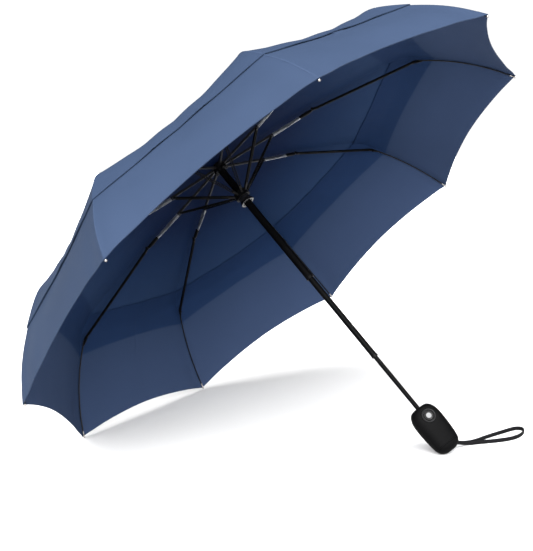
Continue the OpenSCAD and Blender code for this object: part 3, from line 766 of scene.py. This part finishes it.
# ------------------------------------------------------------------ outer ribs: round sprung wire, crimped knuckle, ball tip
F_ = np.array([374.33, 125.14])
O0 = F_ + np.array([1.6, 1.95])
TT = np.array([480.0, 0.0])
oa = math.atan2(TT[1] - O0[1], TT[0] - O0[0])
ol = np.linalg.norm(TT - O0)
hf = math.radians(14)
oR = ol / 2 / math.sin(hf)
cc = (O0 + TT) / 2 - oR * math.cos(hf) * np.array([-math.sin(oa), math.cos(oa)])
for n in range(1, 10):
    us = np.linspace(hf, -hf, 40)
    pts2 = np.array([cc + oR * np.array([-math.sin(oa + u), math.cos(oa + u)]) for u in us])
    path = rib2u(np.stack([pts2[:, 0], np.zeros(len(pts2)), pts2[:, 1]], -1), n)
    rad = np.interp(np.linspace(0, 1, 40), [0, 0.04, 0.05, 1], [1.35, 1.35, 1.12, 0.98]) / 1000
    o = sweep(f"outer_rib_wire_{n}", row(path), rad, n=12)
    o.data.materials.append(WIRE)
    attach(o, f"outer_{n}")
    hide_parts(f"outer_rib_{n}")
    d = pts2[-1] - pts2[-2]
    ang = math.atan2(d[1], d[0])
    ca, sa_ = math.cos(ang), math.sin(ang)

    def place(p, n=n, ca=ca, sa_=sa_):
        # local z along the wire's end
        q = np.stack([TT[0] + p[:, 2] * ca - p[:, 0] * sa_, p[:, 1], TT[1] + p[:, 2] * sa_ + p[:, 0] * ca], -1)
        return row(rib2u(q, n))
    prof_tip = [(0.0, -9.0), (1.15, -9.0), (1.3, -8.6), (1.35, -7.6), (1.15, -7.2), (1.1, -3.0), (1.4, -2.6), (1.45, -1.6)]
    prof_tip += [(1.85 * math.cos(a), 1.85 * math.sin(a)) for a in np.radians(np.arange(-38, 89, 8))] + [(0.0, 1.85)]
    o = lathe(f"rib_tip_{n}", prof_tip, place, 28)
    sharp(o, 40)
    o.data.materials.append(TIPM)
    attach(o, f"outer_{n}")
    # crimped knuckle plate on the hinge
    kp = []
    for y in (-0.9, 0.9):
        for a in np.linspace(math.radians(100), math.radians(280), 12):
            kp.append((F_[0] + 1.95 * math.cos(a), y, F_[1] + 1.95 * math.sin(a)))
        for x_, z_ in ((9.0, -2.0), (9.4, -0.8), (9.2, 0.9)):
            c_, s_ = math.cos(math.radians(-38)), math.sin(math.radians(-38))
            kp.append((O0[0] + x_ * c_ - z_ * s_, y, O0[1] + x_ * s_ + z_ * c_))
    q = len(kp) // 2
    F = [tuple(range(q - 1, -1, -1)), tuple(q + j for j in range(q))] + [(j, (j + 1) % q, q + (j + 1) % q, q + j) for j in range(q)]
    o = new_mesh(f"outer_rib_knuckle_{n}", row(rib2u(np.array(kp), n)), F)
    bevel(o, 0.00025, 2)
    sharp(o, 35)
    o.data.materials.append(RIB_BLACK)
    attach(o, f"outer_{n}")

# ------------------------------------------------------------------ moulded hinge blocks and rivets on the ribs
A_, AI = np.array([10.0, 183.0]), math.radians(-5)
gi, ui = np.array([math.cos(AI), math.sin(AI)]), np.array([-math.sin(AI), math.cos(AI)])
for n in range(1, 10):
    V = []
    st = [(148.5, 1.7, 2.1, 2.0), (150.5, 2.1, 2.9, 2.6), (158, 2.2, 3.1, 2.8), (166, 2.2, 3.1, 2.8), (170.5, 2.0, 2.6, 2.4), (172, 1.4, 2.0, 2.0)]
    for l_, hw, dn, upw in st:
        for yy, zz in ((-hw, -dn * 0.6), (-hw * 0.6, -dn), (hw * 0.6, -dn), (hw, -dn * 0.6), (hw, upw * 0.7), (hw * 0.6, upw), (-hw * 0.6, upw), (-hw, upw * 0.7)):
            p = A_ + l_ * gi + zz * ui
            V.append((p[0], yy, p[1]))
    F = [(i * 8 + j, i * 8 + (j + 1) % 8, (i + 1) * 8 + (j + 1) % 8, (i + 1) * 8 + j) for i in range(len(st) - 1) for j in range(8)] + [tuple(range(7, -1, -1)), tuple((len(st) - 1) * 8 + j for j in range(8))]
    o = new_mesh(f"rib_block_{n}", row(rib2u(np.array(V), n)), F)
    bevel(o, 0.0003, 2, 25)
    sharp(o, 35)
    o.data.materials.append(NYLON)
    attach(o, f"inner_{n}")
    jp = A_ + 90 * gi - 3 * ui

    def rivet(p, n=n, jp=jp):
        return row(rib2u(np.stack([jp[0] + p[:, 0], p[:, 2], jp[1] + p[:, 1]], -1), n))
    o = lathe(f"stretcher_rivet_{n}", [(0, -2.75), (0.9, -2.6), (1.25, -2.25), (1.25, -2.1), (0.7, -2.1), (0.7, 2.1), (1.25, 2.1), (1.25, 2.25), (0.9, 2.6), (0, 2.75)], rivet, 20)
    sharp(o, 40)
    o.data.materials.append(RIB_BLACK)
    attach(o, f"inner_{n}")

# ------------------------------------------------------------------ handle
BA = math.radians(143)
HZ = -326.0


def hplace(p):
    p = np.asarray(p, float)
    q = np.stack([p[:, 0] * math.cos(BA) - p[:, 1] * math.sin(BA), p[:, 0] * math.sin(BA) + p[:, 1] * math.cos(BA), p[:, 2] + HZ], -1)
    return row(q)


HT, HW = 17.5, 23.5
HS = np.array([[0.0, 0.40, 0.42], [-0.7, 0.53, 0.55], [-2.2, 0.655, 0.67], [-6, 0.80, 0.81], [-12, 0.93, 0.93], [-20, 0.99, 0.99], [-28, 1.0, 1.0], [-38, 0.985, 0.995], [-50, 0.94, 0.97], [-60, 0.885, 0.93], [-67, 0.83, 0.88]])


def interp_hs(hs, zs):
    return np.stack([zs, np.interp(-zs, -hs[:, 0], hs[:, 1]), np.interp(-zs, -hs[:, 0], hs[:, 2])], -1)


def oval(a, b, q=96, e=0.86):
    t = 2 * math.pi * np.arange(q) / q
    c, s = np.cos(t), np.sin(t)
    return a * np.sign(c) * np.abs(c) ** e, b * np.sign(s) * np.abs(s) ** e


def loft(name, hs, q=96, dish=None, close_in=True):
    V = []
    for z, a, b in hs:
        x, y = oval(HT * a, HW * b, q)
        V.append(np.stack([x, y, np.full(q, z)], -1))
    V = np.array(V)
    if dish:
        V = dish(V)
    k = len(hs)
    P = V.reshape(-1, 3)
    faces = [(i * q + j, (i + 1) * q + j, (i + 1) * q + (j + 1) % q, i * q + (j + 1) % q) for i in range(k - 1) for j in range(q)]
    faces += [tuple(range(q)), tuple((k - 1) * q + j for j in range(q - 1, -1, -1))]
    return new_mesh(name, hplace(P), faces)


def smooth_rows(hs, step):
    zs = np.arange(hs[0, 0], hs[-1, 0] - 1e-6, -step)
    zs = np.append(zs, hs[-1, 0])
    d = interp_hs(hs, zs)
    kk = np.array([1, 2, 3, 2, 1.0])
    kk /= kk.sum()
    for c in (1, 2):
        pad = np.concatenate([[2 * d[0, c] - d[2, c], 2 * d[0, c] - d[1, c]], d[:, c], [2 * d[-1, c] - d[-2, c], 2 * d[-1, c] - d[-3, c]]])
        sm = np.convolve(pad, kk, mode="valid")
        d[3:-1, c] = sm[3:-1]
    return d


def dish(V):
    # a shallow thumb hollow round the button
    y, z, x = V[..., 1], V[..., 2], V[..., 0]
    rr_ = np.hypot(y, z + 19.0)
    depth = 0.7 * (1 - sstep(10.0, 16.0, rr_)) * (x > 6)
    V[..., 0] = x - depth
    return V


def boolean(o, cutter):
    md = o.modifiers.new("cut", "BOOLEAN")
    md.operation, md.solver, md.object = "DIFFERENCE", "EXACT", cutter
    dg = bpy.context.evaluated_depsgraph_get()
    me = bpy.data.meshes.new_from_object(o.evaluated_get(dg))
    o.modifiers.clear()
    old = o.data
    o.data = me
    bpy.data.meshes.remove(old)
    bpy.data.objects.remove(cutter)
    return o


def cyl(r, z0, z1, place, n=64):
    return lathe("cutter", [(0, z0), (r, z0), (r, z1), (0, z1)], place, n)


def bplace(p):
    # local z out of the button, origin on the handle's axis at the button's height
    p = np.asarray(p, float)
    return hplace(np.stack([p[:, 2], p[:, 1], -19.0 - p[:, 0]], -1))


grip = loft("handle_grip_shell", smooth_rows(HS, 1.1), dish=dish)
bpy.context.view_layer.update()
grip = boolean(grip, cyl(10.35, 9.6, 30, bplace, 96))
grip = boolean(grip, cyl(7.4, -36.0, 3, hplace, 64))
bevel(grip, 0.0004, 3, 48)
sharp(grip, 40)
grip.data.materials.clear()
grip.data.materials.append(GRIP)
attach(grip, "handle")
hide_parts("handle_grip")

HE = np.array([[-67.25, 0.808, 0.858], [-67.7, 0.822, 0.872], [-70.5, 0.775, 0.825], [-73.5, 0.695, 0.74], [-75.5, 0.604, 0.644], [-77.2, 0.495, 0.53], [-78.4, 0.37, 0.40], [-79, 0.25, 0.27]])
d_ = interp_hs(HE, np.concatenate([[-67.25, -67.45, -67.7], np.arange(-68.2, -78.9, -0.4), [-79.0]]))
for c_ in (1, 2):
    sm_ = np.convolve(np.pad(d_[:, c_], 2, mode="edge"), np.array([1, 2, 3, 2, 1]) / 9.0, mode="valid")
    d_[4:-3, c_] = sm_[4:-3]
cap = loft("handle_cap_shell", d_)


def splace(p):
    p = np.asarray(p, float)
    a = math.radians(125)
    q = np.stack([p[:, 2] * math.cos(a) - p[:, 1] * math.sin(a), p[:, 2] * math.sin(a) + p[:, 1] * math.cos(a), -71.2 - p[:, 0]], -1)
    return hplace(q)


bpy.context.view_layer.update()
cap = boolean(cap, cyl(3.6, 3, 30, splace, 48))
bevel(cap, 0.0004, 3, 50)
sharp(cap, 40)
cap.data.materials.clear()
cap.data.materials.append(GRIP)
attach(cap, "handle")
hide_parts("handle_end_cap")

# raised eyelet round the strap's outlet
ey = lathe("strap_eyelet", [(3.5, 16.0), (3.5, 12.6), (3.1, 12.6), (3.1, 16.2), (3.35, 16.7), (4.0, 16.6), (4.3, 16.0), (4.2, 15.2)], splace, 40, closed_profile=True)
sharp(ey, 45)
ey.data.materials.append(NYLON)
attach(ey, "handle")

bz = lathe("button_bezel_ring", [(9.05, 9.7), (10.2, 9.7), (10.25, 9.9), (10.25, 16.2), (10.1, 16.8), (9.7, 17.1), (9.2, 17.0), (8.7, 16.5), (8.3, 15.4), (8.15, 14.2), (8.15, 13.6), (9.05, 13.5)], bplace, 72, closed_profile=True)
sharp(bz, 50)
bz.data.materials.append(BEZEL)
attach(bz, "handle")
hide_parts("button_bezel")

pb = lathe("push_button_cap", [(0, 13.2), (4.4, 13.2), (4.4, 11.8), (8.65, 11.8), (8.65, 13.0), (7.8, 13.0), (7.75, 15.6), (7.55, 16.3), (7.1, 16.65), (6.4, 16.7), (5.6, 16.4), (4.2, 16.1), (2.4, 15.95), (0, 15.9)], bplace, 72)
sharp(pb, 40)
pb.data.materials.append(BUTTON)
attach(pb, "button")
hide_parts("push_button")
# plain pale dot moulded into the button, instead of any mark
dot = lathe("button_dot", [(0, 15.6), (4.1, 15.7), (4.15, 16.3), (3.9, 16.5), (1.6, 16.58), (0, 16.6)], bplace, 40)
sharp(dot, 40)
dot.data.materials.append(MARK)
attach(dot, "button")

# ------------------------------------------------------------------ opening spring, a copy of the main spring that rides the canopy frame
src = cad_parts["main_spring"]
coil = bpy.data.objects.new("opening_spring_coil", src.data.copy())
bpy.context.scene.collection.objects.link(coil)
bpy.context.view_layer.update()
coil.matrix_world = src.matrix_world.copy()
coil.data.materials.clear()
coil.data.materials.append(STEEL)
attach(coil, "canopy_frame")
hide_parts("main_spring")
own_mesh(coil)

# ------------------------------------------------------------------ closure band on the inside of the hem
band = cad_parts["closure_band"]
cb = []
nb = 40
for i in range(nb + 1):
    u = i / nb
    s_ = -40 + 80 * u
    for w_, h_ in ((-11, -0.45), (-11, 0.45), (-10, 0.6), (10, 0.6), (11, 0.45), (11, -0.45), (10, -0.6), (-10, -0.6)):
        wob = 0.5 * math.sin(u * 9.0) + 0.25 * math.sin(u * 21 + w_)
        cb.append((s_, w_, h_ + wob))
cb = np.array(cb)
a39 = math.radians(39)
loc = np.stack([400 - cb[:, 0] * math.sin(a39) + cb[:, 2] * math.cos(a39), cb[:, 1], 77.8 + cb[:, 0] * math.cos(a39) + cb[:, 2] * math.sin(a39)], -1)
a160 = math.radians(160)
uu = np.stack([loc[:, 0] * math.cos(a160) - loc[:, 1] * math.sin(a160), loc[:, 0] * math.sin(a160) + loc[:, 1] * math.cos(a160), loc[:, 2]], -1)
F = [(i * 8 + j, i * 8 + (j + 1) % 8, (i + 1) * 8 + (j + 1) % 8, (i + 1) * 8 + j) for i in range(nb) for j in range(8)] + [tuple(range(7, -1, -1)), tuple(nb * 8 + j for j in range(8))]
o = sharp(new_mesh("closure_band_strip", row(uu), F), 50)
set_uv(o, [(p[0] / 1000, p[1] / 1000) for p in cb])
o.data.materials.append(OUT_LOW)
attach(o, "outer_4")
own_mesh(o)
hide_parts("closure_band")

# ------------------------------------------------------------------ floor and light
fl = new_mesh("floor", [(-9, -9, 0), (9, -9, 0), (9, 9, 0), (-9, 9, 0)], [(0, 1, 2, 3)], smooth=False)
fl.location.z = -0.0004
mt, nt, bs, out = material("floor_white")
tc = nt.nodes.new("ShaderNodeTexCoord")
nz = noise(nt, tc.outputs["Object"], 3.0, 2.0)
cr = ramp(nt, nz.outputs["Fac"], [(0.3, (0.455, 0.455, 0.457)), (0.7, (0.475, 0.475, 0.477))])
nt.links.new(cr.outputs[0], bs.inputs["Base Color"])
bs.inputs["Roughness"].default_value = 0.8
bs.inputs["Specular IOR Level"].default_value = 0.1
# painted light: the floor gives off white light of its own
bs.inputs["Emission Color"].default_value = (1, 1, 1, 1)
# painted light: the floor glows, weakly near the object and more brightly away from it
dl = nt.nodes.new("ShaderNodeVectorMath")
dl.operation = "LENGTH"
nt.links.new(tc.outputs["Object"], dl.inputs[0])
ml = nt.nodes.new("ShaderNodeMapRange")
ml.interpolation_type = "SMOOTHSTEP"
ml.inputs["From Min"].default_value, ml.inputs["From Max"].default_value = 0.6, 1.8
ml.inputs["To Min"].default_value, ml.inputs["To Max"].default_value = 0.12, 0.75
nt.links.new(dl.outputs["Value"], ml.inputs["Value"])
nt.links.new(ml.outputs[0], bs.inputs["Emission Strength"])
fl.data.materials.append(mt)

# a white backdrop, with soft light that comes mostly from in front of and above the object
world = bpy.data.worlds.new("studio")
bpy.context.scene.world = world
world.use_nodes = True
wt = world.node_tree
bg = wt.nodes["Background"]
bg.inputs[0].default_value = (1.0, 1.0, 1.0, 1)
wtc = wt.nodes.new("ShaderNodeTexCoord")
dt = wt.nodes.new("ShaderNodeVectorMath")
dt.operation = "DOT_PRODUCT"
wt.links.new(wtc.outputs["Generated"], dt.inputs[0])
dt.inputs[1].default_value = tuple((back * 0.8 + upv * 0.6).normalized())
mrw = wt.nodes.new("ShaderNodeMapRange")
mrw.interpolation_type = "SMOOTHSTEP"
mrw.inputs["From Min"].default_value, mrw.inputs["From Max"].default_value = 0.4, 1.0
mrw.inputs["To Min"].default_value, mrw.inputs["To Max"].default_value = 0.06, 12.5
wt.links.new(dt.outputs["Value"], mrw.inputs["Value"])
lp = wt.nodes.new("ShaderNodeLightPath")
mw = wt.nodes.new("ShaderNodeMix")
mw.data_type = "FLOAT"
wt.links.new(lp.outputs["Is Camera Ray"], mw.inputs[0])
wt.links.new(mrw.outputs[0], mw.inputs[2])
mw.inputs[3].default_value = 1.05
wt.links.new(mw.outputs[0], bg.inputs[1])


def area(name, loc, target, size, power, color=(1, 1, 1)):
    ld = bpy.data.lights.new(name, "AREA")
    ld.shape, ld.size, ld.energy, ld.color = "SQUARE", size, power, color
    lo_ = bpy.data.objects.new(name, ld)
    lo_.location = loc
    lo_.rotation_euler = (Vector(target) - Vector(loc)).to_track_quat("-Z", "Y").to_euler()
    bpy.context.scene.collection.objects.link(lo_)


area("key", (-1.7, -1.6, 2.4), (0, 0, 0.3), 1.6, 24)
area("side", (1.3, -2.4, 1.9), (0, 0, 0.25), 1.6, 70)
area("top", (0.75, -0.35, 2.4), (0.25, 0, 0), 0.45, 26)
